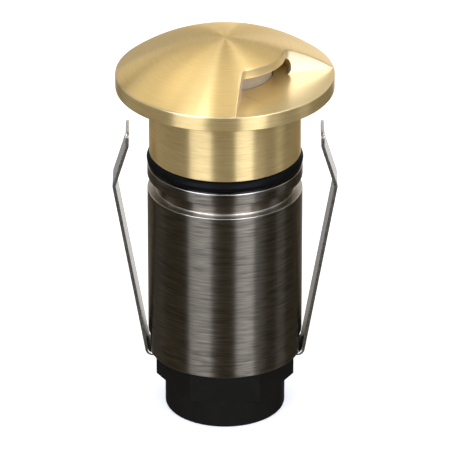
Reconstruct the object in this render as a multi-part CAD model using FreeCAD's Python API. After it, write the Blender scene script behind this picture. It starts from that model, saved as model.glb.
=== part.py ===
import FreeCAD, Part
import math
import os

# Recessed deck light: a brass hood with one light window stands on a brushed metal sleeve.
# A hexagonal cable gland closes the sleeve's foot, and a sprung steel strip on each side
# grips the hole that the light is pushed into.
# Frame: +Z up along the light's axis, origin at the centre of the gland's bottom face,
# X through the two spring clips. The sizes are millimetres and degrees.

# Hood
rim_radius = 22.4
rim_height = 3.1
dome_rise = 7.8
neck_step = 0.4
neck_height = 14.4
hood_spigot_length = 5.7
hood_spigot_wall = 1.15
hood_spigot_chamfer = 0.4

# Light window in the hood
window_azimuth = -39.9
window_height = 3.85
window_lip_reach = 2.8
window_corner_radius = 1.2
window_rim_half_angle = 44.6
window_wall_splay = 58.0
window_groove_undercut = 1.0

# Lens, its seal and its ring
lens_wall = 1.6
lens_top_rounding = 0.5
lens_flange_thickness = 1.5
lens_flange_width = 1.6
lens_ledge_thickness = 4.6
lens_gasket_thickness = 0.8
lens_ring_height = 2.5
lens_ring_width = 2.0
lens_ring_slot_width = 2.0
lens_ring_slot_depth = 1.0

# Seal between the hood and the sleeve
neck_ring_section = 2.6
neck_ring_proud = 0.1

# Sleeve
sleeve_radius = 16.0
sleeve_length = 42.1
sleeve_upper_wall = 3.4
sleeve_upper_bore_depth = 11.5
sleeve_lower_wall = 4.0
sleeve_floor_thickness = 5.0
sleeve_edge_chamfer = 0.3
collar_height = 2.5
groove_height = 3.0
groove_depth = 1.75
groove_edge_chamfer = 0.2

# Cable gland
gland_skirt_share = 0.78125
gland_skirt_height = 6.2
gland_skirt_rounding = 0.55
hex_height = 6.25
hex_sides = 6
gland_spigot_share = 0.68
gland_spigot_chamfer = 0.5
gland_passage_gap = 0.7
gland_nut_share = 0.74
gland_nut_height = 3.2
gland_nut_recess = 0.8
gland_nut_opening_gap = 0.9
gland_nut_lead_in = 0.8
gland_nut_slot_width = 2.2
gland_nut_slot_depth = 1.2
gland_washer_gap = 0.35
gland_washer_thickness = 0.8
grommet_share = 0.56
grommet_length = 5.8
grommet_proud = 0.8
grommet_chamfer = 0.6
cable_bore_share = 0.5

# Spring clips
strip_width = 7.8
strip_thickness = 0.7
clip_disc_inset = 0.5
clip_foot_bend_radius = 1.2
clip_bend_radius = 1.1
clip_foot_reach = 0.09
clip_leg_lean = 9.82
clip_wide_height = 38.77
clip_tip_lean = 17.2
clip_shoulder_height = 9.05
clip_tip_length = 2.83
clip_tip_rounding_share = 0.154
clip_notch_depth = 0.6
clip_notch_height = 4.1
base_gasket_thickness = 0.25
base_gasket_inset = 0.2

# Light engine
sink_post_gap = 1.0
sink_fin_gap = 1.2
sink_fin_thickness = 1.2
sink_fin_depth = 1.6
sink_fin_count = 4
led_board_inset = 0.4
led_board_thickness = 1.6
emitter_side_share = 0.6
emitter_thickness = 0.9
emitter_dome_share = 0.24
emitter_dome_height = 0.3
reflector_height = 4.0
reflector_gap = 0.6
reflector_foot_share = 0.62
reflector_foot_height = 1.5
reflector_top_share = 0.9
reflector_inner_share = 0.45
reflector_lip = 0.8
board_screw_place_share = 0.83
board_screw_radius = 1.0
board_screw_head_radius = 1.4
board_screw_head_height = 1.0
board_screw_length = 6.0
board_screw_slot_width = 0.4
board_screw_slot_depth = 0.4

# Driver and its cradle
cradle_floor_thickness = 1.5
cradle_opening_radius = 4.2
cradle_rail_inset = 0.95
cradle_rail_width = 2.3
cradle_rail_depth = 3.2
cradle_groove_depth = 1.2
driver_board_thickness = 1.2
driver_board_head_room = 1.8
inductor_radius = 3.2
inductor_height = 3.4
inductor_core_radius = 2.1
inductor_flange = 0.7
inductor_offset = -2.5
inductor_drop = 5.2
capacitor_radius = 2.6
capacitor_length = 6.0
capacitor_rounding = 0.4
capacitor_offset = 1.2
capacitor_drop = 1.8
chip_size = (5.0, 1.4, 4.0)
chip_rise = 2.0
terminal_size = (8.0, 5.0, 5.4)
terminal_rise = 0.9
terminal_port_radius = 1.2
terminal_port_depth = 3.5
terminal_pitch = 4.0
lead_radius = 0.55
lead_place_share = 0.76
lead_tail = 3.0
lead_lap = 4.0
lead_hole_clearance = 0.45
lead_bend_share = 0.45

# Clearances
thread_clearance = 0.05
nut_clearance = 0.08
seat_clearance = 0.1
lens_clearance = 0.2
strip_clearance = 0.5
running_gap = 0.3
cut_overrun = 2.0

# Radii that follow the sleeve, from the outside inwards
neck_radius = sleeve_radius - neck_step
sleeve_upper_bore_radius = sleeve_radius - sleeve_upper_wall
sleeve_lower_bore_radius = sleeve_radius - sleeve_lower_wall
hood_spigot_radius = sleeve_upper_bore_radius - thread_clearance
hood_bore_radius = hood_spigot_radius - hood_spigot_wall
lens_flange_radius = hood_bore_radius - lens_clearance
lens_radius = lens_flange_radius - lens_flange_width
window_lip_radius = lens_radius + window_lip_reach
window_groove_radius = window_lip_radius + window_groove_undercut
gland_skirt_radius = gland_skirt_share * sleeve_radius
gland_spigot_radius = gland_spigot_share * gland_skirt_radius
gland_nut_radius = gland_nut_share * gland_skirt_radius
gland_washer_radius = gland_nut_radius - gland_washer_gap
grommet_radius = grommet_share * gland_skirt_radius
cable_bore_radius = cable_bore_share * grommet_radius
gland_passage_radius = cable_bore_radius + gland_passage_gap
gland_nut_opening_radius = cable_bore_radius + gland_nut_opening_gap
clip_disc_radius = gland_skirt_radius - clip_disc_inset
clip_tip_rounding = clip_tip_rounding_share * strip_width
base_gasket_radius = gland_skirt_radius - base_gasket_inset
sink_post_radius = hood_bore_radius - sink_post_gap
led_board_radius = sink_post_radius - led_board_inset
emitter_side = emitter_side_share * led_board_radius
board_screw_place = board_screw_place_share * led_board_radius
lead_place = lead_place_share * led_board_radius
cradle_radius = sleeve_lower_bore_radius - seat_clearance
cradle_rail_face = cradle_radius - cradle_rail_inset - cradle_rail_width

# Heights of the stack, from the gland's bottom face upwards
hex_base = gland_skirt_height
hex_top = hex_base + hex_height
strip_top = hex_top + strip_thickness
sleeve_base = strip_top + base_gasket_thickness
sleeve_floor = sleeve_base + sleeve_floor_thickness
sleeve_top = sleeve_base + sleeve_length
neck_base = sleeve_top + neck_ring_section
rim_base = neck_base + neck_height
rim_top = rim_base + rim_height
apex = rim_top + dome_rise
window_ceiling = rim_top + window_height
sink_base = sleeve_top - sleeve_upper_bore_depth
spigot_base = sleeve_top - hood_spigot_length
sink_flange_top = spigot_base - running_gap
lens_ledge_base = rim_top - lens_ledge_thickness
lens_flange_top = lens_ledge_base - lens_gasket_thickness
lens_flange_base = lens_flange_top - lens_flange_thickness
led_board_top = lens_flange_base - reflector_gap - reflector_height
sink_top = led_board_top - led_board_thickness
grommet_top = gland_nut_recess + gland_nut_height + gland_washer_thickness + grommet_length
driver_board_base = sleeve_floor + cradle_floor_thickness
driver_board_top = sink_base - running_gap - driver_board_head_room
up = FreeCAD.Vector(0, 0, 1)


def point(x, y, z):
    return FreeCAD.Vector(x, y, z)


def face_of(edges):
    return Part.Face(Part.Wire(Part.sortEdges(edges)[0]))


def outline_edges(points):
    closed = points + points[:1]
    return [Part.LineSegment(a, b).toShape() for a, b in zip(closed, closed[1:])]


def turned(points):
    """A solid of revolution about Z from (radius, height) pairs."""
    outline = [point(radius, 0, height) for radius, height in points]
    return face_of(outline_edges(outline)).revolve(point(0, 0, 0), up, 360)


def ring(outer, inner, base, height):
    return turned([(inner, base), (outer, base), (outer, base + height), (inner, base + height)])


def rod(radius, base, height, x=0, y=0):
    return Part.makeCylinder(radius, height, point(x, y, base), up)


def block(size, centre_x, centre_y, base):
    """A box from its size, the centre of its floor and the height of its floor."""
    corner = point(centre_x - size[0] / 2, centre_y - size[1] / 2, base)
    return Part.makeBox(size[0], size[1], size[2], corner)


def edges_at(shape, test):
    return [edge for edge in shape.Edges if test(edge.BoundBox)]


def export(name, shape):
    if len(shape.Solids) == 1:
        shape = shape.Solids[0]
    shape.exportStep("parts/" + name + ".step")
    print(name, "solids", len(shape.Solids), "volume", round(shape.Volume, 1), "valid", shape.isValid())


# Hood: one turned brass piece, hollow from below, with the window milled into it
def dome_arc():
    sphere_radius = (rim_radius ** 2 + dome_rise ** 2) / (2 * dome_rise)
    half_angle = math.asin(rim_radius / sphere_radius) / 2
    middle = point(sphere_radius * math.sin(half_angle), 0,
                   apex - sphere_radius * (1 - math.cos(half_angle)))
    return Part.Arc(point(0, 0, apex), middle, point(rim_radius, 0, rim_top)).toShape()


def hood_blank():
    seat_radius = sleeve_radius + neck_ring_proud - neck_ring_section
    ledge_bore_radius = lens_radius + lens_clearance
    groove_round = window_height / 2
    groove_centre = window_groove_radius - groove_round
    outer = [(rim_radius, rim_top), (rim_radius, rim_base), (neck_radius, rim_base),
             (neck_radius, neck_base), (seat_radius, neck_base), (seat_radius, sleeve_top),
             (hood_spigot_radius, sleeve_top), (hood_spigot_radius, spigot_base + hood_spigot_chamfer),
             (hood_spigot_radius - hood_spigot_chamfer, spigot_base), (hood_bore_radius, spigot_base),
             (hood_bore_radius, lens_ledge_base), (ledge_bore_radius, lens_ledge_base),
             (ledge_bore_radius, rim_top), (groove_centre, rim_top)]
    outline = [point(radius, 0, height) for radius, height in outer]
    edges = [Part.LineSegment(a, b).toShape() for a, b in zip(outline, outline[1:])]
    groove_end = point(groove_centre, 0, window_ceiling)
    groove_side = point(window_groove_radius, 0, rim_top + groove_round)
    edges.append(Part.Arc(outline[-1], groove_side, groove_end).toShape())
    edges.append(Part.LineSegment(groove_end, point(0, 0, window_ceiling)).toShape())
    edges.append(Part.LineSegment(point(0, 0, window_ceiling), point(0, 0, apex)).toShape())
    edges.append(dome_arc())
    return face_of(edges).revolve(point(0, 0, 0), up, 360)


def window_cutter():
    """The scoop: a curved back under the lip, and two flat side walls that splay to the rim."""
    corner_angle = math.radians(window_rim_half_angle)
    splay = math.radians(window_wall_splay)
    corner_u = rim_radius * math.cos(corner_angle)
    corner_v = rim_radius * math.sin(corner_angle)
    step_u = math.cos(splay)
    step_v = math.sin(splay)
    along = corner_u * step_u + corner_v * step_v
    miss = corner_u ** 2 + corner_v ** 2 - window_lip_radius ** 2
    inward = along - math.sqrt(along ** 2 - miss)
    start_u = corner_u - inward * step_u
    start_v = corner_v - inward * step_v
    far_u = rim_radius + cut_overrun
    far_v = corner_v + (far_u - corner_u) * step_v / step_u
    left_start = point(start_u, -start_v, rim_top)
    right_start = point(start_u, start_v, rim_top)
    left_far = point(far_u, -far_v, rim_top)
    right_far = point(far_u, far_v, rim_top)
    back = Part.Arc(left_start, point(window_lip_radius, 0, rim_top), right_start).toShape()
    sides = [Part.LineSegment(right_start, right_far).toShape(),
             Part.LineSegment(right_far, left_far).toShape(),
             Part.LineSegment(left_far, left_start).toShape()]
    cutter = face_of([back] + sides).extrude(up * (dome_rise + cut_overrun))
    corners = edges_at(cutter, lambda box: box.ZLength > dome_rise and box.XMax < far_u - cut_overrun)
    cutter = cutter.makeFillet(window_corner_radius, corners)
    cutter.rotate(point(0, 0, 0), up, window_azimuth)
    return cutter


def hood():
    return hood_blank().cut(window_cutter())


# Lens: a frosted cup that stands through the hood's ledge, with a flange below it
def lens():
    lens_top = window_ceiling - lens_clearance
    inner = lens_radius - lens_wall
    cup = turned([(0, lens_top), (lens_radius, lens_top), (lens_radius, lens_flange_top),
                  (lens_flange_radius, lens_flange_top), (lens_flange_radius, lens_flange_base),
                  (inner, lens_flange_base), (inner, lens_top - lens_wall), (0, lens_top - lens_wall)])
    rim = edges_at(cup, lambda box: box.ZMin > lens_top - lens_wall / 2 and box.XMax > inner)
    return cup.makeFillet(lens_top_rounding, rim[:1])


def lens_gasket():
    return ring(lens_flange_radius, lens_radius + lens_clearance,
                lens_flange_top, lens_gasket_thickness)


def lens_ring():
    """The threaded ring that holds the lens up, with two slots for a pin spanner."""
    outer = hood_bore_radius - thread_clearance
    base = lens_flange_base - lens_ring_height
    body = ring(outer, outer - lens_ring_width, base, lens_ring_height)
    slot = block((2 * outer + cut_overrun, lens_ring_slot_width, lens_ring_slot_depth), 0, 0, base)
    return body.cut(slot)


def neck_seal():
    tube_radius = neck_ring_section / 2
    centre_radius = sleeve_radius + neck_ring_proud - tube_radius
    return Part.makeTorus(centre_radius, tube_radius, point(0, 0, sleeve_top + tube_radius), up)


# Sleeve: a turned tube with a floor, an empty ring groove under its collar and two clip notches
def sleeve():
    groove_top = sleeve_top - collar_height
    groove_base = groove_top - groove_height
    groove_floor = sleeve_radius - groove_depth
    passage = gland_spigot_radius + thread_clearance
    body = turned([(sleeve_radius - sleeve_edge_chamfer, sleeve_top),
                   (sleeve_radius, sleeve_top - sleeve_edge_chamfer),
                   (sleeve_radius, groove_top + groove_edge_chamfer),
                   (sleeve_radius - groove_edge_chamfer, groove_top),
                   (groove_floor, groove_top), (groove_floor, groove_base),
                   (sleeve_radius - groove_edge_chamfer, groove_base),
                   (sleeve_radius, groove_base - groove_edge_chamfer),
                   (sleeve_radius, sleeve_base + sleeve_edge_chamfer),
                   (sleeve_radius - sleeve_edge_chamfer, sleeve_base),
                   (passage, sleeve_base), (passage, sleeve_floor),
                   (sleeve_lower_bore_radius, sleeve_floor), (sleeve_lower_bore_radius, sink_base),
                   (sleeve_upper_bore_radius, sink_base), (sleeve_upper_bore_radius, sleeve_top)])
    notch_width = strip_width + 2 * strip_clearance
    notch_size = (clip_notch_depth + cut_overrun, notch_width, clip_notch_height + cut_overrun)
    reach = sleeve_radius - clip_notch_depth + notch_size[0] / 2
    for side in (-1, 1):
        body = body.cut(block(notch_size, side * reach, 0, sleeve_base - cut_overrun))
    return body


# Gland: hexagon, round skirt and threaded spigot in one moulding, bored for the cable
def gland_body():
    half_step = math.pi / hex_sides
    corner_radius = gland_skirt_radius / math.cos(half_step)
    corners = [point(corner_radius * math.cos(2 * half_step * step),
                     corner_radius * math.sin(2 * half_step * step), hex_base)
               for step in range(hex_sides)]
    skirt = rod(gland_skirt_radius, 0, gland_skirt_height)
    foot_edge = edges_at(skirt, lambda box: box.ZMax < gland_skirt_height / 2 and box.XLength > 0)
    skirt = skirt.makeFillet(gland_skirt_rounding, foot_edge)
    hexagon = face_of(outline_edges(corners)).extrude(up * hex_height)
    chamfered = gland_spigot_radius - gland_spigot_chamfer
    spigot = turned([(0, hex_top), (gland_spigot_radius, hex_top),
                     (gland_spigot_radius, sleeve_floor - gland_spigot_chamfer),
                     (chamfered, sleeve_floor), (0, sleeve_floor)])
    solid = skirt.fuse(hexagon).fuse(spigot).removeSplitter()
    nut_pocket_top = grommet_top - grommet_length + grommet_proud
    solid = solid.cut(rod(gland_nut_radius + nut_clearance, -cut_overrun, nut_pocket_top + cut_overrun))
    solid = solid.cut(rod(grommet_radius + seat_clearance, 0, grommet_top))
    return solid.cut(rod(gland_passage_radius, 0, sleeve_floor + cut_overrun))


def gland_grommet():
    base = grommet_top - grommet_length
    return turned([(cable_bore_radius, base), (grommet_radius, base),
                   (grommet_radius, grommet_top - grommet_chamfer),
                   (grommet_radius - grommet_chamfer, grommet_top),
                   (cable_bore_radius, grommet_top)])


def gland_washer():
    return ring(gland_washer_radius, gland_nut_opening_radius,
                gland_nut_recess + gland_nut_height, gland_washer_thickness)


def gland_nut():
    top = gland_nut_recess + gland_nut_height
    mouth = gland_nut_opening_radius + gland_nut_lead_in
    nut = turned([(mouth, gland_nut_recess), (gland_nut_radius, gland_nut_recess),
                  (gland_nut_radius, top), (gland_nut_opening_radius, top),
                  (gland_nut_opening_radius, gland_nut_recess + gland_nut_lead_in)])
    slot = (2 * gland_nut_radius + cut_overrun, gland_nut_slot_width, gland_nut_slot_depth + cut_overrun)
    return nut.cut(block(slot, 0, 0, gland_nut_recess - cut_overrun))


# Spring clips: one steel strip under the sleeve, bent up on each side into a leg
def bend_frame(before, corner, after, radius):
    """Tangent points, centre and bisector of one bend of the strip's middle line."""
    first = (corner - before).normalize()
    second = (after - corner).normalize()
    turn = first.getAngle(second)
    reach = radius * math.tan(turn / 2)
    enter = corner - first * reach
    leave = corner + second * reach
    side = (second - first).normalize()
    centre = corner + side * (radius / math.cos(turn / 2))
    return enter, leave, centre, side


def bent_strip(route, radii, thickness, width):
    """A flat strip of one width, along a middle line in the XZ plane with rounded bends."""
    across = point(0, 1, 0)
    bends = [bend_frame(a, b, c, r) for a, b, c, r in zip(route, route[1:], route[2:], radii)]
    sides = []
    for shift in (thickness / 2, -thickness / 2):
        normal = (route[1] - route[0]).normalize().cross(across)
        first = route[0] + normal * shift
        here = first
        edges = []
        for (enter, leave, centre, side), corner, after in zip(bends, route[1:], route[2:]):
            start = enter + normal * shift
            normal = (after - corner).normalize().cross(across)
            end = leave + normal * shift
            middle = centre - side * (start - centre).Length
            edges.append(Part.LineSegment(here, start).toShape())
            edges.append(Part.Arc(start, middle, end).toShape())
            here = end
        last = route[-1] + normal * shift
        edges.append(Part.LineSegment(here, last).toShape())
        sides.append((edges, first, last))
    (outer, outer_first, outer_last), (inner, inner_first, inner_last) = sides
    caps = [Part.LineSegment(outer_first, inner_first).toShape(),
            Part.LineSegment(outer_last, inner_last).toShape()]
    profile = face_of(outer + inner + caps)
    profile.translate(point(0, -width / 2, 0))
    return profile.extrude(point(0, width, 0))


def clip_places():
    """Middle line of the right clip, from the disc under the sleeve to the tip."""
    foot_level = hex_top + strip_thickness / 2
    lean = math.tan(math.radians(clip_leg_lean))
    wide_level = foot_level + clip_wide_height
    foot_corner = sleeve_radius + clip_foot_reach
    wide = foot_corner + lean * clip_wide_height
    tip = wide - math.tan(math.radians(clip_tip_lean)) * clip_shoulder_height
    return [point(0, 0, foot_level), point(foot_corner, 0, foot_level),
            point(wide, 0, wide_level), point(tip, 0, wide_level + clip_shoulder_height),
            point(tip, 0, wide_level + clip_shoulder_height + clip_tip_length)]


def clip_pivot():
    route = clip_places()
    return bend_frame(route[0], route[1], route[2], clip_foot_bend_radius)[2]


def right_leg():
    route = clip_places()
    whole = bent_strip(route, [clip_foot_bend_radius, clip_bend_radius, clip_bend_radius],
                       strip_thickness, strip_width)
    pivot = clip_pivot()
    foot = block((2 * pivot.x, strip_width + cut_overrun, strip_thickness + clip_foot_bend_radius),
                 0, 0, hex_top - clip_foot_bend_radius / 2)
    leg = whole.cut(foot)
    tip_top = route[-1].z
    corners = edges_at(leg, lambda box: box.ZMin > tip_top - strip_thickness
                       and box.ZLength < strip_thickness / 2 and box.YLength < strip_thickness / 2)
    return leg.makeFillet(clip_tip_rounding, corners)


def mirrored(shape):
    return shape.mirror(point(0, 0, 0), point(1, 0, 0))


def clip_base():
    disc = rod(clip_disc_radius, hex_top, strip_thickness)
    arm = block((2 * clip_pivot().x, strip_width, strip_thickness), 0, 0, hex_top)
    hole = rod(gland_spigot_radius + seat_clearance, hex_top - cut_overrun,
               strip_thickness + 2 * cut_overrun)
    return disc.fuse(arm).removeSplitter().cut(hole)


def base_gasket():
    return ring(base_gasket_radius, gland_spigot_radius + 2 * seat_clearance,
                strip_top, base_gasket_thickness)


# Light engine: a finned aluminium post in the sleeve carries the board under the lens
def heat_sink():
    flange_radius = sleeve_upper_bore_radius - thread_clearance
    sink = ring(flange_radius, 0, sink_base, sink_flange_top - sink_base)
    post = rod(sink_post_radius, sink_flange_top, sink_top - sink_flange_top)
    sink = sink.fuse(post).removeSplitter()
    pitch = sink_fin_gap + sink_fin_thickness
    for step in range(sink_fin_count):
        level = sink_flange_top + sink_fin_thickness + step * pitch
        sink = sink.cut(ring(sink_post_radius + cut_overrun, sink_post_radius - sink_fin_depth,
                             level, sink_fin_gap))
    lead_hole = lead_radius + seat_clearance
    for side in (-1, 1):
        sink = sink.cut(rod(lead_hole, sink_base - cut_overrun, sink_top - sink_base + 2 * cut_overrun,
                            side * lead_place, lead_line()))
        sink = sink.cut(rod(board_screw_radius + thread_clearance, sink_top - board_screw_length,
                            board_screw_length + cut_overrun, 0, side * board_screw_place))
    return sink


def lead_line():
    return driver_board_thickness / 2 + lead_radius


def led_board():
    board = rod(led_board_radius, sink_top, led_board_thickness)
    for side in (-1, 1):
        board = board.cut(rod(lead_radius + lead_hole_clearance, sink_top - cut_overrun,
                              led_board_thickness + 2 * cut_overrun, side * lead_place, lead_line()))
        board = board.cut(rod(board_screw_radius + seat_clearance, sink_top - cut_overrun,
                              led_board_thickness + 2 * cut_overrun, 0, side * board_screw_place))
    return board


def led_emitter():
    base = block((emitter_side, emitter_side, emitter_thickness), 0, 0, led_board_top)
    dome_radius = emitter_dome_share * led_board_radius
    dome = rod(dome_radius, led_board_top + emitter_thickness, emitter_dome_height)
    return base.fuse(dome).removeSplitter()


def reflector():
    foot_top = led_board_top + reflector_foot_height
    top = led_board_top + reflector_height
    inner = reflector_inner_share * led_board_radius
    foot = reflector_foot_share * led_board_radius
    mouth = reflector_top_share * led_board_radius
    return turned([(inner, led_board_top), (foot, led_board_top), (foot, foot_top),
                   (mouth, top), (mouth - reflector_lip, top)])


def board_screws():
    screws = []
    for side in (-1, 1):
        y = side * board_screw_place
        shank_base = led_board_top - board_screw_length
        shank = rod(board_screw_radius, shank_base, board_screw_length, 0, y)
        head = rod(board_screw_head_radius, led_board_top, board_screw_head_height, 0, y)
        slot_base = led_board_top + board_screw_head_height - board_screw_slot_depth
        slot = block((2 * board_screw_head_radius, board_screw_slot_width, board_screw_slot_depth),
                     0, y, slot_base)
        screws.append(shank.fuse(head).removeSplitter().cut(slot))
    return Part.makeCompound(screws)


# Driver: a board held by its edges in a moulded cradle between the sleeve's floor and the sink
def driver_cradle():
    cradle = ring(cradle_radius, cradle_opening_radius, sleeve_floor, cradle_floor_thickness)
    rail_height = sink_base - running_gap - driver_board_base
    groove_width = driver_board_thickness + 2 * thread_clearance
    for side in (-1, 1):
        rail = block((cradle_rail_width, cradle_rail_depth, rail_height),
                     side * (cradle_rail_face + cradle_rail_width / 2), 0, driver_board_base)
        cradle = cradle.fuse(rail)
    cradle = cradle.removeSplitter()
    reach = cradle_rail_face + cradle_groove_depth
    groove = block((2 * reach, groove_width, rail_height + cut_overrun), 0, 0, driver_board_base)
    return cradle.cut(groove)


def driver_board():
    half = cradle_rail_face + cradle_groove_depth - seat_clearance
    height = driver_board_top - driver_board_base
    return block((2 * half, driver_board_thickness, height), 0, 0, driver_board_base)


def driver_inductor():
    """A drum core: two flanges and a waist, standing out from the board's front."""
    start = point(inductor_offset, -driver_board_thickness / 2, driver_board_top - inductor_drop)
    out = point(0, -1, 0)
    core = Part.makeCylinder(inductor_core_radius, inductor_height, start, out)
    near = Part.makeCylinder(inductor_radius, inductor_flange, start, out)
    far = Part.makeCylinder(inductor_radius, inductor_flange,
                            start + out * (inductor_height - inductor_flange), out)
    return core.fuse(near).fuse(far).removeSplitter()


def driver_capacitor():
    base = driver_board_top - capacitor_drop - capacitor_length
    can = rod(capacitor_radius, base, capacitor_length,
              capacitor_offset, driver_board_thickness / 2 + capacitor_radius)
    ends = edges_at(can, lambda box: box.ZLength < capacitor_rounding)
    return can.makeFillet(capacitor_rounding, ends)


def driver_chip():
    middle = -(driver_board_thickness + chip_size[1]) / 2
    return block(chip_size, 0, middle, driver_board_base + chip_rise)


def terminal_block():
    middle = (driver_board_thickness + terminal_size[1]) / 2
    base = driver_board_base + terminal_rise
    body = block(terminal_size, 0, middle, base)
    for side in (-1, 1):
        body = body.cut(rod(terminal_port_radius, base, terminal_port_depth,
                            side * terminal_pitch / 2, middle))
    return body


def lead(side):
    """One insulated wire, from the driver board's back, through the sink, onto the upper board."""
    x = side * lead_place
    y = lead_line()
    top = led_board_top + lead_radius + seat_clearance
    start = point(x, y, driver_board_top - lead_lap)
    corner = point(x, y, top)
    end = point(x, y + lead_tail, top)
    bend = lead_bend_share * lead_tail
    centre = point(x, y + bend, top - bend)
    middle = centre + point(0, -bend, bend) * math.sqrt(0.5)
    enter = corner - up * bend
    leave = corner + point(0, bend, 0)
    path = Part.Wire([Part.LineSegment(start, enter).toShape(), Part.Arc(enter, middle, leave).toShape(),
                      Part.LineSegment(leave, end).toShape()])
    section = Part.Wire(Part.Circle(start, up, lead_radius).toShape())
    wire = path.makePipeShell([section], True, True)
    share = wire.Volume / (math.pi * lead_radius ** 2 * path.Length)
    print("lead bend radius", round(bend, 2), "volume share", round(share, 4))
    return wire


def main():
    os.makedirs("parts", exist_ok=True)
    right = right_leg()
    pieces = {
        "hood": hood(),
        "lens": lens(),
        "lens_gasket": lens_gasket(),
        "lens_retaining_ring": lens_ring(),
        "neck_o_ring": neck_seal(),
        "body_sleeve": sleeve(),
        "gland_body": gland_body(),
        "gland_grommet": gland_grommet(),
        "gland_slip_washer": gland_washer(),
        "gland_clamp_nut": gland_nut(),
        "base_gasket": base_gasket(),
        "clip_base": clip_base(),
        "right_clip_leg": right,
        "left_clip_leg": mirrored(right),
        "heat_sink": heat_sink(),
        "led_board": led_board(),
        "led_emitter": led_emitter(),
        "reflector": reflector(),
        "led_board_screws": board_screws(),
        "driver_cradle": driver_cradle(),
        "driver_board": driver_board(),
        "driver_inductor": driver_inductor(),
        "driver_capacitor": driver_capacitor(),
        "driver_chip": driver_chip(),
        "terminal_block": terminal_block(),
        "left_led_lead": lead(-1),
        "right_led_lead": lead(1),
    }
    for name, shape in pieces.items():
        export(name, shape)
    pivot = clip_pivot()
    print("clip pivot", round(pivot.x, 4), round(pivot.z, 4), "height", round(apex, 3))


main()
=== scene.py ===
# %% [markdown]
# Deck light
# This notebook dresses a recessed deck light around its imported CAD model. The real light is a
# turned brass hood on a brushed metal sleeve, with a black rubber ring between them, a moulded
# cable gland underneath and a spring clip on each side. The CAD model fixes every size, so it
# is loaded first and nothing here may leave its box.

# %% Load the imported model
import math

import bmesh
import bpy
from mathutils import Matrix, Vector


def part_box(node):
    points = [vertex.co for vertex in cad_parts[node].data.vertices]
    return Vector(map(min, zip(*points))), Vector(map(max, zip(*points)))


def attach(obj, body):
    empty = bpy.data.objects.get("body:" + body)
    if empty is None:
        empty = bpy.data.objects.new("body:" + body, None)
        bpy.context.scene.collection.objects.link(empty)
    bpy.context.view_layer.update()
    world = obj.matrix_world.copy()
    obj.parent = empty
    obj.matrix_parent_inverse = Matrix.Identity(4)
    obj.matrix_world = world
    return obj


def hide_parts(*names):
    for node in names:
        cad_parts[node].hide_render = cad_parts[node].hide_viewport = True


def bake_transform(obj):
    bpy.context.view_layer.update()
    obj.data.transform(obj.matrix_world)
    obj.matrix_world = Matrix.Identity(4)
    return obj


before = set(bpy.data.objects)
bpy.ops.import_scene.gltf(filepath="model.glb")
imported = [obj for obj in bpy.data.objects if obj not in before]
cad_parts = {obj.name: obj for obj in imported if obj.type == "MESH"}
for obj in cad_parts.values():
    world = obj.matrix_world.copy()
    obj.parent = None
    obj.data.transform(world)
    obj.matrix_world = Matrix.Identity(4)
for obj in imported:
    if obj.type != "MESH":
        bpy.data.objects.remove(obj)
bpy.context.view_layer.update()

# %% [markdown]
# Units and the places that pieces share
# Sizes are written in millimetres, as on a drawing, and turned into metres with the factor mm.
# Where pieces meet, the height or radius is read from the CAD node that carries them, so a new
# piece lands where the CAD says, without any fitting.

# %% Shared sizes
mm = 0.001


def span(node):
    """Lowest height, highest height and outer radius of a CAD node, in millimetres."""
    low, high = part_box(node)
    return low.z / mm, high.z / mm, max(high.x, high.y) / mm


hood_foot, apex, rim_radius = span("hood")
sleeve_base, sleeve_top, sleeve_radius = span("body_sleeve")
ring_base, neck_base, ring_radius = span("neck_o_ring")
lens_foot, lens_top, lens_flange_radius = span("lens")
strip_base, strip_top = span("clip_base")[:2]
print("rim radius", round(rim_radius, 2))
print("sleeve from", round(sleeve_base, 2), "to", round(sleeve_top, 2))

# %% [markdown]
# Modelling by hand
# Almost every part of this light was turned on a lathe. In Blender that is the spin tool: a
# line is drawn on one side of the axis, point by point, and swept once round it. To draw the
# line, one vertex is made, moved to the first point and extruded from point to point.

# %% Draw a line and turn it
def begin(name):
    """An object in edit mode whose mesh is a single vertex at the origin."""
    bpy.ops.object.select_all(action="DESELECT")
    bpy.ops.mesh.primitive_plane_add(size=mm)
    piece = bpy.context.object
    piece.name = name
    bpy.ops.object.mode_set(mode="EDIT")
    bpy.ops.mesh.select_mode(type="VERT")
    bpy.ops.mesh.merge(type="CENTER")
    return piece


def trace(places):
    """Moves the selected vertex to the first place and extrudes it through the others."""
    here = Vector((0, 0, 0))
    for step, place in enumerate(places):
        move = Vector(place) * mm - here
        if step == 0:
            bpy.ops.transform.translate(value=move)
        else:
            bpy.ops.mesh.extrude_region_move(TRANSFORM_OT_translate={"value": move})
        here += move


def close_up():
    """Merges doubled points and turns every face outwards."""
    bpy.ops.mesh.select_all(action="SELECT")
    bpy.ops.mesh.remove_doubles(threshold=0.001 * mm)
    bpy.ops.mesh.normals_make_consistent(inside=False)
    bpy.ops.object.mode_set(mode="OBJECT")


def turn(name, profile, steps):
    """Spins a line of (radius, height) points round the light's axis."""
    piece = begin(name)
    trace([(radius, 0, height) for radius, height in profile])
    bpy.ops.mesh.select_all(action="SELECT")
    bpy.ops.mesh.spin(steps=steps, angle=2 * math.pi, center=(0, 0, 0), axis=(0, 0, 1))
    close_up()
    return piece


def arc(centre, radius, first, last, steps):
    """Points of an arc in a profile, with angles in degrees from the outward direction."""
    turns = [math.radians(first + (last - first) * step / steps) for step in range(steps + 1)]
    return [(centre[0] + radius * math.cos(a), centre[1] + radius * math.sin(a)) for a in turns]


# %% [markdown]
# Soft edges
# A turned edge is never perfectly sharp, and the thin bright line that it catches is what makes
# metal look real. The bevel tool rounds each ring of edges, which is found by its radius and
# height. Afterwards the weighted normal modifier keeps the large faces true, so that only the
# small new faces carry the curve. Cuts are booleans, and each is followed by a sort of the mesh,
# so that the next tool meets it in the same order whenever the script runs.

# %% Round the rings and finish a mesh
ring_slack = 0.02


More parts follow.
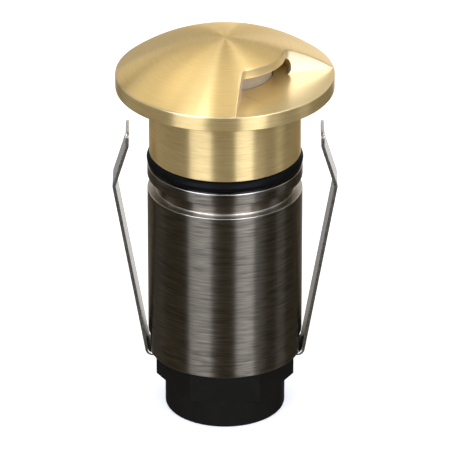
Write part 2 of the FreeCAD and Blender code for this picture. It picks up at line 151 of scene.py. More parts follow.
def only(piece):
    """Makes a piece the one selected and active object."""
    bpy.ops.object.select_all(action="DESELECT")
    piece.select_set(True)
    bpy.context.view_layer.objects.active = piece


def pick_edges(piece, wanted):
    """Goes into edit mode with just the edges selected whose two ends both pass a test."""
    only(piece)
    bpy.ops.object.mode_set(mode="EDIT")
    bpy.ops.mesh.select_mode(type="EDGE")
    bpy.ops.mesh.select_all(action="DESELECT")
    bpy.ops.object.mode_set(mode="OBJECT")
    points = piece.data.vertices
    for edge in piece.data.edges:
        edge.select = wanted(*(points[index].co / mm for index in edge.vertices))
    bpy.ops.object.mode_set(mode="EDIT")


def on_ring(radius, height):
    """A test for the edges of one ring, for pick_edges."""
    def near(point):
        away = max(abs(point.xy.length - radius), abs(point.z - height))
        return away < ring_slack
    return lambda first, second: near(first) and near(second)


def round_rings(piece, rings, segments=3):
    """Bevels rings of edges, each given as (radius, height, width)."""
    for radius, height, width in rings:
        pick_edges(piece, on_ring(radius, height))
        bpy.ops.mesh.bevel(offset=width * mm, segments=segments, profile=0.5, affect="EDGES")
        bpy.ops.object.mode_set(mode="OBJECT")


def put_in_order(piece):
    """Numbers a mesh by position, because a boolean numbers it differently from run to run."""
    only(piece)
    bpy.ops.object.mode_set(mode="EDIT")
    mesh = bmesh.from_edit_mesh(piece.data)

    def arrange(elements, key):
        rank = {element: place for place, element in enumerate(sorted(elements, key=key))}
        elements.sort(key=rank.get)
        elements.index_update()

    arrange(mesh.verts, lambda vertex: tuple(round(side / mm, 5) for side in vertex.co))
    for elements in (mesh.edges, mesh.faces):
        arrange(elements, lambda element: sorted(vertex.index for vertex in element.verts))
    bmesh.update_edit_mesh(piece.data)
    bpy.ops.object.mode_set(mode="OBJECT")


def block(half_sizes, centre, rounding=0):
    """A box to cut or join with, from its half sizes and its centre."""
    bpy.ops.object.select_all(action="DESELECT")
    bpy.ops.mesh.primitive_cube_add(size=2 * mm)
    tool = bpy.context.object
    bpy.ops.object.mode_set(mode="EDIT")
    bpy.ops.transform.resize(value=half_sizes)
    bpy.ops.transform.translate(value=Vector(centre) * mm)
    if rounding:
        bpy.ops.mesh.bevel(offset=rounding * mm, segments=2, affect="EDGES")
    bpy.ops.object.mode_set(mode="OBJECT")
    return tool


def carve(piece, tool, operation="DIFFERENCE"):
    """Cuts a tool from a piece, or joins it, and removes the tool."""
    only(piece)
    cut = piece.modifiers.new(operation.lower(), "BOOLEAN")
    cut.object = tool
    cut.operation = operation
    cut.solver = "EXACT"
    bpy.ops.object.modifier_apply(modifier=cut.name)
    bpy.data.objects.remove(tool)
    put_in_order(piece)


def smooth(piece, angle=32):
    """Smooth shading with true large faces."""
    only(piece)
    bpy.ops.object.shade_smooth_by_angle(angle=math.radians(angle))
    weigh = piece.modifiers.new("weigh", "WEIGHTED_NORMAL")
    weigh.keep_sharp = True
    bpy.ops.object.modifier_apply(modifier=weigh.name)
    print(piece.name, "faces", len(piece.data.polygons), "size in mm",
          [round(side / mm, 2) for side in piece.dimensions])


# %% [markdown]
# Hood
# The hood is one piece of brass: a shallow dome with a 3 mm rim, a neck below it and a short
# spigot that screws into the sleeve. Its outline is a line from the apex over the dome, round
# the outside, and back up through the hollow where the lens sits. The dome is part of a sphere,
# so its points come from one arc. Over the lens the hollow widens into a round undercut, which
# leaves a thin lip once the light window is cut.

# %% Turn the hood
dome_rise = 7.8
rim_thickness = 3.1
rim_top = apex - dome_rise
rim_base = rim_top - rim_thickness
neck_radius = 15.6
seal_seat_radius = 13.5
spigot_radius = 12.55
spigot_chamfer = 0.4
pocket_radius = 11.4
pocket_top = 71.0
lens_hole_radius = 9.8
lip_radius = 12.4
undercut = 1.0
window_height = 3.85
window_ceiling = rim_top + window_height
dome_radius = (rim_radius ** 2 + dome_rise ** 2) / (2 * dome_rise)
dome_edge = math.degrees(math.acos(rim_radius / dome_radius))
dome = arc((0, apex - dome_radius), dome_radius, 90, dome_edge, 36)
neck_line = [(rim_radius, rim_base), (neck_radius, rim_base), (neck_radius, neck_base),
             (seal_seat_radius, neck_base), (seal_seat_radius, sleeve_top)]
lens_pocket = [(spigot_radius, sleeve_top), (spigot_radius, hood_foot + spigot_chamfer),
               (spigot_radius - spigot_chamfer, hood_foot), (pocket_radius, hood_foot),
               (pocket_radius, pocket_top), (lens_hole_radius, pocket_top),
               (lens_hole_radius, rim_top)]
groove_round = window_height / 2
groove_middle = (lip_radius + undercut - groove_round, rim_top + groove_round)
lip_groove = arc((lip_radius, rim_top + undercut), undercut, -90, 0, 8)
lip_groove += arc(groove_middle, groove_round, 0, 90, 12)
hood = turn("brass_hood", [(0, apex)] + dome[1:] + neck_line + lens_pocket + lip_groove
            + [(0, window_ceiling)], steps=224)
round_rings(hood, [(rim_radius, rim_top, 0.22), (rim_radius, rim_base, 0.2),
                   (neck_radius, rim_base, 0.3), (neck_radius, neck_base, 0.2)])
print("hood points", len(hood.data.vertices))

# %% [markdown]
# Light window
# The light leaves through one scoop milled into the dome. Seen from above it is a sector: a
# curved back that leaves a lip over the lens, and two flat walls that splay out to the rim.
# A solid of that shape is drawn flat, its two inner corners are rounded by the cutter's own
# radius, and it is taken from the hood with a boolean.

# %% Cut the window
window_turn = math.radians(39.9)
wall_corner = math.radians(44.6)
wall_splay = math.radians(58.0)
cutter_radius = 0.9
past_rim = 3
tool_height = 12
corner_along = rim_radius * math.cos(wall_corner)
corner_across = rim_radius * math.sin(wall_corner)
run = corner_along * math.cos(wall_splay) + corner_across * math.sin(wall_splay)
run -= math.sqrt(run ** 2 - rim_radius ** 2 + lip_radius ** 2)
lip_end = math.degrees(math.atan2(corner_across - run * math.sin(wall_splay),
                                  corner_along - run * math.cos(wall_splay)))
far_along = rim_radius + past_rim
far_across = corner_across + (far_along - corner_along) * math.tan(wall_splay)
window_plan = arc((0, 0), lip_radius, -lip_end, lip_end, 30)
window_plan += [(far_along, far_across), (far_along, -far_across)]


def cut_window(piece, plan):
    """Raises the plan to a solid, rounds its inner corners, turns it into place and cuts."""
    tool = begin("window_tool")
    trace([(along, across, rim_top) for along, across in plan])
    bpy.ops.mesh.select_all(action="SELECT")
    bpy.ops.mesh.edge_face_add()
    bpy.ops.mesh.extrude_region_move(TRANSFORM_OT_translate={"value": (0, 0, tool_height * mm)})
    close_up()
    corner_spot = Vector(plan[0])
    corner_spot.y = abs(corner_spot.y)

    def inner_corner(first, second):
        spots = [Vector((point.x, abs(point.y))) for point in (first, second)]
        upright = abs(first.z - second.z) > ring_slack
        return upright and all((spot - corner_spot).length < ring_slack for spot in spots)
    pick_edges(tool, inner_corner)
    bpy.ops.mesh.bevel(offset=cutter_radius * mm, segments=8, profile=0.5, affect="EDGES")
    bpy.ops.mesh.select_all(action="SELECT")
    bpy.ops.transform.rotate(value=window_turn, orient_axis="Z", center_override=(0, 0, 0))
    bpy.ops.object.mode_set(mode="OBJECT")
    carve(piece, tool)


cut_window(hood, window_plan)
print("lip end angle", round(lip_end, 2), "hood points", len(hood.data.vertices))

# %% [markdown]
# The milled edges of the window
# The cutter leaves crisp edges that a maker breaks with a touch of abrasive. Beside the cut the
# dome's own mesh has points so close that a bevel would fold over them, so those points are
# dissolved first, and very short edges along the cut are merged.

# %% Break the window's edges
edge_width = 0.18
merge_reach = 1.5 * edge_width
clear_reach = 2.2 * edge_width
window_half_angle = math.radians(46)
least_fold = math.radians(28)
above_floor = rim_top + 0.05


def window_edges(mesh):
    """Convex edges of the scoop: those near it that are sharper than a touch."""
    found = []
    for edge in mesh.edges:
        middle = (edge.verts[0].co + edge.verts[1].co) / (2 * mm)
        turned = math.atan2(middle.y, middle.x) + window_turn
        under = middle.z < rim_top - 0.05 or middle.xy.length < lip_radius - 0.8
        if under or abs(turned) > window_half_angle:
            continue
        if edge.is_manifold and edge.is_convex and edge.calc_face_angle() > least_fold:
            found.append(edge)
    return found


def select_window_edges(piece, mesh, mode):
    """Selects the window's edges, or in VERT mode the points at their ends."""
    bpy.ops.mesh.select_mode(type=mode)
    bpy.ops.mesh.select_all(action="DESELECT")
    for edge in window_edges(mesh):
        if mode == "EDGE":
            edge.select = True
        else:
            edge.verts[0].select = edge.verts[1].select = True
    bmesh.update_edit_mesh(piece.data)


def break_window_edges(piece):
    """Merges what is short, clears what is near, and bevels the window's edges."""
    only(piece)
    bpy.ops.object.mode_set(mode="EDIT")
    select_window_edges(piece, bmesh.from_edit_mesh(piece.data), "VERT")
    bpy.ops.mesh.remove_doubles(threshold=merge_reach * mm)
    mesh = bmesh.from_edit_mesh(piece.data)
    kept = {vertex for edge in window_edges(mesh) for vertex in edge.verts}
    places = [vertex.co for vertex in kept]
    bpy.ops.mesh.select_all(action="DESELECT")
    for vertex in mesh.verts:
        if vertex in kept or vertex.co.z < above_floor * mm:
            continue
        vertex.select = any((vertex.co - place).length < clear_reach * mm for place in places)
    bmesh.update_edit_mesh(piece.data)
    bpy.ops.mesh.dissolve_verts()
    select_window_edges(piece, bmesh.from_edit_mesh(piece.data), "EDGE")
    bpy.ops.mesh.bevel(offset=edge_width * mm, segments=2, profile=0.5, affect="EDGES",
                       clamp_overlap=False)
    bpy.ops.object.mode_set(mode="OBJECT")


break_window_edges(hood)
smooth(hood)

# %% [markdown]
# Lens
# Behind the window stands a frosted cup that spreads the light of the lamp inside. A ring
# screwed in from below holds it up against a silicone washer, so it has a flange at its foot.

# %% Turn the lens
lens_radius = 9.6
lens_wall = 1.6
lens_round = 0.5
lens_flange_height = 1.5
lens_flange_top = lens_foot + lens_flange_height
lens_bore = lens_radius - lens_wall
lens_corner = arc((lens_radius - lens_round, lens_top - lens_round), lens_round, 90, 0, 6)
lens = turn("frosted_lens", [(0, lens_top)] + lens_corner
            + [(lens_radius, lens_flange_top), (lens_flange_radius, lens_flange_top),
               (lens_flange_radius, lens_foot), (lens_bore, lens_foot),
               (lens_bore, lens_top - lens_wall), (0, lens_top - lens_wall)], steps=128)
round_rings(lens, [(lens_flange_radius, lens_flange_top, 0.15),
                   (lens_flange_radius, lens_foot, 0.15)])
smooth(lens)

# %% [markdown]
# Rubber ring
# The ring that seals the hood on the sleeve is a moulded O-ring. It just touches the flat faces
# above and below it, and round its widest line runs the fine flash that its mould leaves where
# the two halves meet.

# %% Turn the rubber ring
tube = (neck_base - ring_base) / 2
flash = 0.04
flash_half_height = 0.03
ring_middle = (ring_radius - tube - flash / 2, (neck_base + ring_base) / 2)
section = [(ring_radius + flash / 2, ring_middle[1] + flash_half_height)]
section += arc(ring_middle, tube, 3, 357, 46)
section += [(ring_radius + flash / 2, ring_middle[1] - flash_half_height)]
seal = turn("neck_ring", section + section[:1], steps=192)
smooth(seal, 60)

# %% [markdown]
# Sleeve
# The sleeve is a turned tube with a thick floor. Under its top collar runs an empty groove,
# where a second ring can be fitted, and a small flat is milled at the foot on each side so that
# the spring clips clear it. The outside edges are broken all round.

# %% Turn the sleeve
collar_height = 2.5
groove_height = 3.0
groove_depth = 1.75
collar_foot = sleeve_top - collar_height
groove_foot = collar_foot - groove_height
groove_radius = sleeve_radius - groove_depth
thread_radius = 12.6
thread_foot = 44.0
cavity_radius = 12.0
floor_top = 18.4
floor_hole_radius = 8.55
sleeve = turn("brushed_sleeve", [
    (thread_radius, sleeve_top), (sleeve_radius, sleeve_top), (sleeve_radius, collar_foot),
    (groove_radius, collar_foot), (groove_radius, groove_foot), (sleeve_radius, groove_foot),
    (sleeve_radius, sleeve_base), (floor_hole_radius, sleeve_base), (floor_hole_radius, floor_top),
    (cavity_radius, floor_top), (cavity_radius, thread_foot), (thread_radius, thread_foot),
    (thread_radius, sleeve_top)], steps=224)
round_rings(sleeve, [(sleeve_radius, sleeve_top, 0.26), (sleeve_radius, collar_foot, 0.15),
                     (groove_radius, collar_foot, 0.15), (groove_radius, groove_foot, 0.15),
                     (sleeve_radius, groove_foot, 0.2), (sleeve_radius, sleeve_base, 0.28),
                     (floor_hole_radius, sleeve_base, 0.2), (thread_radius, sleeve_top, 0.2)],
            segments=2)

# %% Mill the two flats for the clips
mill_half_sizes = (1.25, 4.4, 3.05)
mill_across = 16.65
mill_height = sleeve_base + 1.05
mill_round = 0.2
for side in (-1, 1):
    carve(sleeve, block(mill_half_sizes, (side * mill_across, 0, mill_height), mill_round))
smooth(sleeve)

# %% [markdown]
# Cable gland
# The gland is a black nylon moulding: a round skirt, a hexagon for a 25 mm spanner and a spigot
# that screws up into the sleeve. The round parts are turned as one solid, a six-sided cylinder
# is joined to them, and the hollow for the nut and the rubber grommet is cut out from below.

# %% Build the gland
skirt_radius = 12.5
hex_foot = 6.2
hex_top = strip_base
hex_turn = math.radians(30)
hex_corner = skirt_radius / math.cos(hex_turn)
hex_round = 0.22
foot_round = 0.55
plug_radius = 8.5
plug_chamfer = 0.5
nut_bore = 9.33
nut_bore_top = 5.6
grommet_bore = 7.1
grommet_top = 10.6
cable_hole = 4.2
hollow_foot, hollow_top = -1, 20
gland_foot = arc((skirt_radius - foot_round, foot_round), foot_round, -90, 0, 6)
gland = turn("nylon_gland", [(0, 0)] + gland_foot
             + [(skirt_radius, hex_top), (plug_radius, hex_top),
                (plug_radius, floor_top - plug_chamfer),
                (plug_radius - plug_chamfer, floor_top), (0, floor_top)], steps=160)
bpy.ops.object.select_all(action="DESELECT")
bpy.ops.mesh.primitive_cylinder_add(vertices=6, radius=hex_corner * mm,
                                    depth=(hex_top - hex_foot) * mm)
hexagon = bpy.context.object
bpy.ops.object.mode_set(mode="EDIT")
bpy.ops.mesh.select_all(action="SELECT")
bpy.ops.transform.rotate(value=hex_turn, orient_axis="Z", center_override=(0, 0, 0))
bpy.ops.transform.translate(value=(0, 0, (hex_top + hex_foot) / 2 * mm))
bpy.ops.mesh.bevel(offset=hex_round * mm, segments=3, profile=0.5, affect="EDGES")
bpy.ops.object.mode_set(mode="OBJECT")
carve(gland, hexagon, "UNION")
hollow = turn("gland_hollow", [
    (0, hollow_foot), (nut_bore, hollow_foot), (nut_bore, nut_bore_top),
    (grommet_bore, nut_bore_top), (grommet_bore, grommet_top), (cable_hole, grommet_top),
    (cable_hole, hollow_top), (0, hollow_top)], steps=128)
carve(gland, hollow)
round_rings(gland, [(nut_bore, 0, 0.25)], segments=2)
smooth(gland)

# %% [markdown]
# Nut, washer and grommet
# Under the gland a slotted nut squeezes a rubber grommet round the cable, and a slip washer
# between them lets the nut turn without twisting the rubber. They show only from below.

# %% Turn the small gland pieces
cable_bore = 3.5
bore_chamfer = 0.4
grommet_radius = 7.0
grommet_shoulder = 0.6
washer_hole = 4.4
washer_radius = 8.9
washer_top = 4.8
nut_radius = 9.25
nut_foot = 0.8
nut_top = 4.0
nut_funnel = 0.8
nut_mouth = washer_hole + nut_funnel
slot_half_sizes = (12, 1.1, 1.2)
grommet = turn("cable_grommet", [
    (cable_bore, washer_top + bore_chamfer), (cable_bore + bore_chamfer, washer_top),
    (grommet_radius, washer_top), (grommet_radius, grommet_top - grommet_shoulder),
    (grommet_radius - grommet_shoulder, grommet_top), (cable_bore + bore_chamfer, grommet_top),
    (cable_bore, grommet_top - bore_chamfer), (cable_bore, washer_top + bore_chamfer)], steps=96)
smooth(grommet)
washer = turn("slip_washer", [
    (washer_hole, nut_top), (washer_radius, nut_top), (washer_radius, washer_top),
    (washer_hole, washer_top), (washer_hole, nut_top)], steps=96)
round_rings(washer, [(washer_radius, nut_top, 0.1), (washer_hole, nut_top, 0.1)], segments=2)
smooth(washer)
nut = turn("clamp_nut", [
    (nut_mouth, nut_foot), (nut_radius, nut_foot), (nut_radius, nut_top), (washer_hole, nut_top),
    (washer_hole, nut_foot + nut_funnel), (nut_mouth, nut_foot)], steps=128)
round_rings(nut, [(nut_radius, nut_foot, 0.3), (nut_mouth, nut_foot, 0.15)], segments=2)
carve(nut, block(slot_half_sizes, (0, 0, nut_foot)))
smooth(nut)

# %% [markdown]
# Spring clips
# One strip of spring steel, 7.8 mm wide and 0.7 mm thick, is clamped under the sleeve. Its two
# ends are bent up and lean out, then turn in again at the widest point and end in a straight
# tip with rounded corners. Each side is drawn as a line with rounded bends, widened to a
# ribbon, and given its thickness by a solidify modifier.

# %% Bend the strip
strip_middle = (strip_base + strip_top) / 2
strip_start = 14.2
leg_foot = 16.09
widest, widest_rise = 22.797, 38.77
tip_place, tip_foot_rise, tip_end_rise = 20.0, 47.82, 50.65
strip_route = [(strip_start, strip_middle), (leg_foot, strip_middle),
               (widest, strip_middle + widest_rise), (tip_place, strip_middle + tip_foot_rise),
               (tip_place, strip_middle + tip_end_rise)]
strip_bends = [1.2, 1.1, 1.1]
strip_half_width = 3.9
strip_thickness = 0.7
strip_edge = 0.12
tip_round = 1.2


def bent(route, radii, steps=10):
    """The route's points, with each corner replaced by an arc of its radius."""
    line = [Vector(place) for place in route]
    places = [line[0]]
    for before, corner, after, radius in zip(line, line[1:], line[2:], radii):
        come = (corner - before).normalized()
        go = (after - corner).normalized()
        swing = come.angle(go)
        enter = corner - come * radius * math.tan(swing / 2)
        centre = corner + (go - come).normalized() * radius / math.cos(swing / 2)
        spoke = enter - centre
        spin = math.copysign(swing / steps, come.x * go.y - come.y * go.x)
        for step in range(steps + 1):
            a = spin * step
            places.append(centre + Vector((spoke.x * math.cos(a) - spoke.y * math.sin(a),
                                           spoke.x * math.sin(a) + spoke.y * math.cos(a))))
    return places + [line[-1]]


right_clip = begin("right_spring_clip")
trace([(place.x, -strip_half_width, place.y) for place in bent(strip_route, strip_bends)])
bpy.ops.mesh.select_all(action="SELECT")
across_strip = (0, 2 * strip_half_width * mm, 0)
bpy.ops.mesh.extrude_region_move(TRANSFORM_OT_translate={"value": across_strip})
bpy.ops.mesh.select_mode(type="VERT")
bpy.ops.mesh.select_all(action="DESELECT")
bpy.ops.object.mode_set(mode="OBJECT")
tip_height = max(vertex.co.z for vertex in right_clip.data.vertices)
for vertex in right_clip.data.vertices:
    vertex.select = vertex.co.z > tip_height - 0.01 * mm
bpy.ops.object.mode_set(mode="EDIT")
bpy.ops.mesh.bevel(offset=tip_round * mm, segments=8, profile=0.5, affect="VERTICES")
bpy.ops.object.mode_set(mode="OBJECT")
print("strip points", len(right_clip.data.vertices))

# %% Give the strip its thickness and its twin
def thicken(piece, thickness, rounding):
    """Gives a ribbon its thickness and rounds its sheared edges."""
    only(piece)
    solid = piece.modifiers.new("thickness", "SOLIDIFY")
    solid.thickness = thickness * mm
    solid.offset = 0
    solid.use_even_offset = True
    bpy.ops.object.modifier_apply(modifier=solid.name)
    edge = piece.modifiers.new("edge", "BEVEL")
    edge.width = rounding * mm
    edge.segments = 3
    edge.limit_method = "ANGLE"
    edge.angle_limit = math.radians(50)
    edge.use_clamp_overlap = False
    bpy.ops.object.modifier_apply(modifier=edge.name)
    bpy.ops.object.mode_set(mode="EDIT")
    close_up()


thicken(right_clip, strip_thickness, strip_edge)
only(right_clip)
bpy.ops.object.duplicate()
left_clip = bpy.context.object
left_clip.name = "left_spring_clip"
bpy.ops.object.mode_set(mode="EDIT")
bpy.ops.mesh.select_all(action="SELECT")
bpy.ops.transform.resize(value=(-1, 1, 1), center_override=(0, 0, 0))
close_up()
for clip in (right_clip, left_clip):
    smooth(clip, 40)

# %% Make the strip's clamped disc
disc_hole = 8.6
disc_radius = 12.0
arm_start = 10.5
clip_disc = turn("clip_disc", [
    (disc_hole, strip_base), (disc_radius, strip_base), (disc_radius, strip_top),
    (disc_hole, strip_top), (disc_hole, strip_base)], steps=128)
arm_half_sizes = ((strip_start - arm_start) / 2, strip_half_width, strip_thickness / 2)
for side in (-1, 1):
    arm = block(arm_half_sizes, (side * (strip_start + arm_start) / 2, 0, strip_middle))
    carve(clip_disc, arm, "UNION")
smooth(clip_disc)

# %% [markdown]
# Writing shaders as sums
# A material is a small machine of nodes. To read like maths, a socket is wrapped in a class, so
# that a plus or a times sign adds a Math node. Every other node comes from one method, which
# sets the node's choices first and then its sockets, by value or by link.

# %% Wrap a socket
class Wire:
    """A socket whose value can be used in sums."""

    def __init__(self, recipe, socket):
        self.recipe = recipe
        self.socket = socket

    def maths(self, operation, *values):
        return self.recipe.node("ShaderNodeMath", {"operation": operation},
                                dict(enumerate(values)))

    def __add__(self, other):
        return self.maths("ADD", self, other)

    def __sub__(self, other):
        return self.maths("SUBTRACT", self, other)

    def __rsub__(self, other):
        return self.maths("SUBTRACT", other, self)

    def __mul__(self, other):
        return self.maths("MULTIPLY", self, other)

    def __truediv__(self, other):
        return self.maths("DIVIDE", self, other)

    def __pow__(self, other):
        return self.maths("POWER", self, other)

    def step(self, low, high):
        """0 below low, 1 above high and a soft change between."""
        return self.recipe.node("ShaderNodeMapRange", {"interpolation_type": "SMOOTHSTEP"},
                                {"Value": self, "From Min": low, "From Max": high})

    __radd__ = __add__
    __rmul__ = __mul__


# %% Build a material or a world
class Recipe:
    """The node tree of one finish."""

    def __init__(self, name, kind="materials"):
        self.data = getattr(bpy.data, kind).new(name)
        self.data.use_nodes = True
        self.tree = self.data.node_tree

    def plug(self, socket, value):
        if isinstance(value, Wire):
            self.tree.links.new(value.socket, socket)
        else:
            socket.default_value = value

    def node(self, kind, settings=None, sockets=None, output=0):
        made = self.tree.nodes.new(kind)
        for name, value in (settings or {}).items():
            setattr(made, name, value)
        for key, value in (sockets or {}).items():
            self.plug(made.inputs[key], value)
        return Wire(self, made.outputs[output])

    def shader(self, sockets):
        """Sets the sockets of the surface shader that a new material comes with."""
        surface = self.tree.nodes["Principled BSDF"]
        for key, value in sockets.items():
            self.plug(surface.inputs[key], value)
        return Wire(self, surface.outputs[0])

    def second_shader(self, share, first, sockets):
        """Mixes another surface shader in, where its share is above zero."""
        second = self.node("ShaderNodeBsdfPrincipled", {}, sockets)
        both = self.node("ShaderNodeMixShader", {}, {0: share, 1: first, 2: second})
        self.plug(self.tree.nodes["Material Output"].inputs["Surface"], both)

    def places(self):
        """Object coordinates in millimetres: along X, Y and Z, and the distance from the axis."""
        coordinates = self.node("ShaderNodeTexCoord", output="Object")
        split = self.node("ShaderNodeSeparateXYZ", sockets={0: coordinates}).socket.node
        x, y, z = (Wire(self, split.outputs[axis]) / mm for axis in range(3))
        return x, y, z, (x * x + y * y) ** 0.5

    def vector(self, x, y, z):
        return self.node("ShaderNodeCombineXYZ", sockets={0: x, 1: y, 2: z})

    def noise(self, place, scale, detail, roughness):
        return self.node("ShaderNodeTexNoise", {}, {"Vector": place, "Scale": scale,
                                                    "Detail": detail, "Roughness": roughness})

    def mix(self, share, first, second):
        """A colour between two colours."""
        return self.node("ShaderNodeMix", {"data_type": "RGBA"}, {0: share, 6: first, 7: second}, 2)

    def bump(self, height, strength, distance=0.02):
        return self.node("ShaderNodeBump", {}, {"Strength": strength, "Distance": distance * mm,
                                                "Height": height})


def tint(red, green, blue):
    return (red, green, blue, 1.0)


def off_ring(z, radius, height, ring_radius):
    """Distance in millimetres from one of the light's rings of edges."""
    return ((z - height) ** 2 + (radius - ring_radius) ** 2) ** 0.5


# %% [markdown]
# Turned and brushed metal
# Brushing on a lathe leaves fine rings, all at right angles to the axis. Light spreads across
# them but hardly along them, which draws upright bands on a cylinder and rays from the apex of
# a dome. The shader does this with its anisotropy, set round the axis. The rings themselves are
# noise that changes fast from ring to ring and slowly along each, so it reads as short streaks.

# %% Rings of streaks
def streaks(recipe, along, across, detail):
    """Noise in rings: 'along' streaks a radian, 'across' lines a millimetre."""
    x, y, z, radius = recipe.places()
    place = recipe.vector(x / radius * along, y / radius * along, (radius - z) * across)
    return recipe.noise(place, 1.0, detail, 0.6)


def brushed(recipe, light, dark, roughness, spread, swing, metal, depth=1.0):
    """Turned metal: two colours, the mean roughness, its anisotropy and the depth of streaks."""
    coarse = streaks(recipe, 2.2, 2.3, 2.0)
    fine = streaks(recipe, 4.5, 4.0, 1.0)
    streak = ((coarse * 0.5 + fine * 0.5).step(0.22, 0.78) - 0.5) * depth + 0.5
    return recipe.shader({"Base Color": recipe.mix(streak, tint(*dark), tint(*light)),
                          "Metallic": metal,
                          "Roughness": roughness + (streak - 0.5) * swing,
                          "Anisotropic": spread,
                          "Anisotropic Rotation": 0.25,
                          "Normal": recipe.bump(fine, 0.03)})


# %% Brushed brass with its milled window, with painted light and shade in the window and painted highlights on its edges
def painted_groove_light_mask(x, y, z, radius):
    """1 in the round undercut below the lip and in its channel, which runs on past the walls; there
    the brass is painted light.
    """
    along = x * math.cos(window_turn) - y * math.sin(window_turn)
    across = x * math.sin(window_turn) + y * math.cos(window_turn)
    off_corner = (along - corner_along) * math.tan(wall_splay)
    beyond = across.maths("ABSOLUTE", across) - corner_across - off_corner
    behind_wall = (beyond * math.cos(wall_splay)).step(0.03, 0.12)
    groove_edge = lip_radius + undercut
    channel = behind_wall * (1 - radius.step(groove_edge + 0.05, groove_edge + 0.1))
    under_lip = 1 - radius.step(lip_radius - 0.12, lip_radius - 0.04)
    return channel.maths("MAXIMUM", channel, under_lip) * (z - rim_top).step(0.1, 0.6)


def brass_finish():
    """Brushed outside; the scoop, which lies under the dome and over the rim, is milled smooth,
    with painted light and shade in it and painted highlight lines along the lip and rim edges.
    """
    recipe = Recipe("brushed_brass_finish")
    x, y, z, radius = recipe.places()
    above = z - rim_top
    on_dome = above.step(-0.2, 0.2)
    polish = 0.345 - on_dome * 0.025
    calm = 1 - on_dome * 0.45
    outside = brushed(recipe, (1.0, 0.73, 0.315), (0.82, 0.57, 0.215), polish, 1.0, 0.09, 0.84,
                      calm)
    under_dome = (dome_radius ** 2 - radius * radius) ** 0.5 + (apex - dome_radius) - z
    scoop = under_dome.step(0.03, 0.10) * above.step(-0.03, -0.01)
    # Painted highlight: the window's walls are coloured paler than its floor.
    painted_wall_highlight = above.step(0.02, 0.10) * radius.step(lip_radius + 0.1, lip_radius + 0.5)
    # Painted shade: a greyer, darker line along the corner where the walls meet the floor.
    painted_crease_shade = above.step(0.0, 0.03) * (1 - above.step(0.12, 0.22))
    # Painted light: the undercut under the lip and its channel get a brighter colour and less
    # metal, so they look lit.
    painted_groove_light = painted_groove_light_mask(x, y, z, radius)
    cloud = recipe.noise(recipe.vector(x, y, z), 0.5, 2.0, 0.5)
    level = recipe.mix(cloud, tint(0.88, 0.67, 0.31), tint(0.94, 0.73, 0.36))
    milled_with_painted_light = recipe.mix(painted_wall_highlight, level, tint(1.0, 0.88, 0.72))
    milled_with_painted_light = recipe.mix(painted_crease_shade, milled_with_painted_light, tint(0.82, 0.66, 0.44))
    milled_with_painted_light = recipe.mix(painted_groove_light, milled_with_painted_light, tint(1.0, 0.86, 0.46))
    # Painted highlight lines: a pale colour along the lip's foot, the lip's brow and the rim's top
    # edge, where the milled shader is also used.
    off_lip_foot = off_ring(z, radius, window_ceiling, lip_radius).step(0.12, 0.22)
    off_lip_brow = under_dome.step(0.16, 0.28)
    off_rim = off_ring(z, radius, rim_top, rim_radius).step(0.08, 0.18)
    off_painted_edge_highlights = off_lip_foot * off_lip_brow * off_rim
    recipe.second_shader(1 - (1 - scoop) * off_rim, outside, {
        "Base Color": recipe.mix(off_painted_edge_highlights, tint(1.0, 0.80, 0.48), milled_with_painted_light),
        "Metallic": 0.76 - painted_groove_light * 0.70,
        "Roughness": 0.30 + cloud * 0.06 + painted_groove_light * 0.2})
    return recipe.data


# %% The dark sleeve, with painted highlights on its edges, painted light on its ledge and a painted shadow under its collar
def sleeve_finish():
    """Dark brushed plating, with painted highlights of bright metal along the broken edges, painted
    light on the ledge and a painted shadow line under the collar.
    """
    recipe = Recipe("brushed_sleeve_finish")
    plated = brushed(recipe, (0.352, 0.288, 0.200), (0.146, 0.124, 0.094), 0.33, 1.0, 0.10, 1.0)
    x, y, z, radius = recipe.places()
    level = z - groove_foot
    # Painted light: the ledge's top face gets the bright metal colour.
    painted_ledge_light = 1 - level.maths("ABSOLUTE", level).step(0.02, 0.05)
    # Painted shadow: a dark line where the collar's foot edge meets the groove.
    shadow = 1 - off_ring(z, radius, collar_foot, sleeve_radius).step(0.10, 0.24)
    painted_light_and_shade = painted_ledge_light * 0.9 + shadow * 0.85
    # Painted highlights: bright metal along the broken edges of the top, the groove and the foot.
    for height, edge_radius in ((sleeve_top, sleeve_radius), (groove_foot, sleeve_radius),
                                (groove_foot, groove_radius), (sleeve_base, sleeve_radius)):
        painted_light_and_shade = (1 - off_ring(z, radius, height, edge_radius).step(0.13, 0.24)) + painted_light_and_shade
    cloud = recipe.noise(recipe.vector(x, y, z), 0.6, 2.0, 0.5)
    bright = recipe.mix(cloud, tint(0.72, 0.66, 0.56), tint(0.86, 0.79, 0.67))
    recipe.second_shader(painted_light_and_shade, plated, {
        "Base Color": recipe.mix(shadow, bright, tint(0.03, 0.027, 0.022)),
        "Metallic": 1.0,
        "Roughness": 0.28 + cloud * 0.08})
    return recipe.data


brass = brass_finish()
gunmetal = sleeve_finish()
print("metal nodes", len(brass.node_tree.nodes))

# %% [markdown]
# Spring steel
# The clips are cut from rolled strip, so their fine lines run along the strip and not round the
# light. The noise is stretched up the legs. The sheared sides are duller than the faces, the
# foot of each leg is dark, and a painted highlight, a small bright crescent, sits inside the lower
# bend.

# %% Spring steel finish
bend_across = 14.89
bend_height = strip_middle + strip_bends[0]


def dark_foot(across, height):
    """1 on the lowest few millimetres of a leg, which is coloured dark."""
    return (1 - height.step(strip_top + 1.0, strip_top + 5.5)) * across.step(15.0, 15.4)


